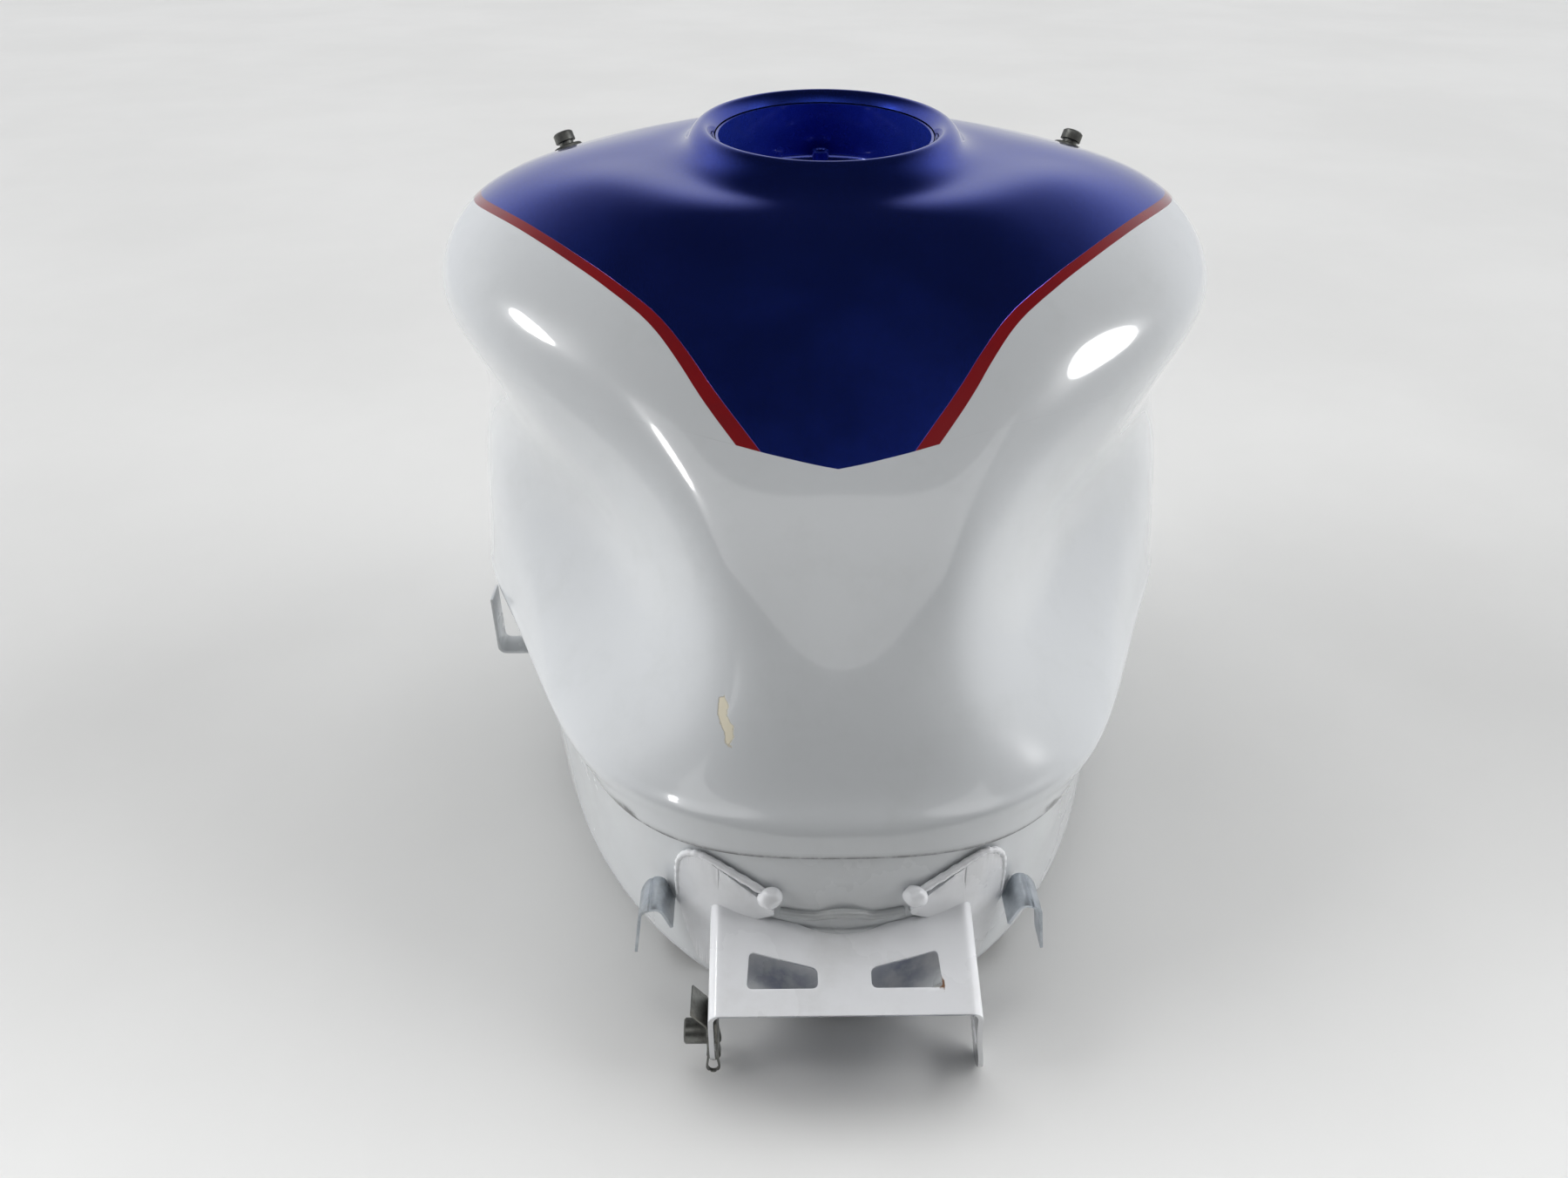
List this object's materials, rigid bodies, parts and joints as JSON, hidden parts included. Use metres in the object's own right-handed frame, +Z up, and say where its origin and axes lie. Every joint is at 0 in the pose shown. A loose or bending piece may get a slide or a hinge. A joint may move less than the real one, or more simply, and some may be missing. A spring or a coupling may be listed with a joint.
{
  "type": "motorcycle fuel tank",
  "caption": "Sport motorcycle fuel tank in painted sheet steel, with a recessed filler, knee pockets, rear bracket, and an inner fuel pump and level float.",
  "frame": {"origin": "centre of the tank's footprint, at the level of the surface it stands on", "axes": "+Z up, +Y towards the tank's nose (the front of the motorcycle), +X towards the rider's right"},
  "size_m": [0.3834, 0.492, 0.3098],
  "materials": {
    "white_paint": "gloss",
    "blue_paint": "gloss",
    "zinc_steel": "satin",
    "pump_aluminium": "satin",
    "rubber": "matte",
    "black_plastic": "satin",
    "grey_plastic": "satin"
  },
  "bodies": {
    "tank": {"upper_shell": "white_paint", "bottom_pan": "white_paint", "filler_cup": "blue_paint", "filler_neck": "blue_paint", "cap_boss_1": "blue_paint", "cap_boss_2": "blue_paint", "cap_boss_3": "blue_paint", "overflow_tube": "zinc_steel", "breather_tube": "zinc_steel", "slosh_baffle": "zinc_steel", "pump_ring": "zinc_steel", "pump_gasket": "rubber", "pump_flange": "black_plastic", "pump_bolt_1": "zinc_steel", "pump_bolt_2": "zinc_steel", "pump_bolt_3": "zinc_steel", "pump_bolt_4": "zinc_steel", "pump_bolt_5": "zinc_steel", "pump_reservoir": "black_plastic", "strainer": "grey_plastic", "fuel_pump": "pump_aluminium", "fuel_outlet": "black_plastic", "pump_connector": "black_plastic", "level_sender": "black_plastic", "rear_bracket": "white_paint", "hem_lip": "white_paint", "hook_left": "zinc_steel", "hook_right": "zinc_steel", "clip_nut_spring": "zinc_steel", "clip_nut_barrel": "zinc_steel", "side_tab": "white_paint", "cover_stud_left": "zinc_steel", "cover_stud_right": "zinc_steel", "front_bracket": "white_paint", "grommet_left": "rubber", "grommet_right": "rubber", "sleeve_left": "zinc_steel", "sleeve_right": "zinc_steel"},
    "sender_float": {"float_arm": "zinc_steel", "float": "grey_plastic"}
  },
  "joints": [
    {"name": "float_swing", "type": "hinge", "parent": "tank", "child": "sender_float", "pos_m": [0.045, -0.1, 0.088], "axis": [1, 0, 0], "range_deg": [0, 55]}
  ]
}
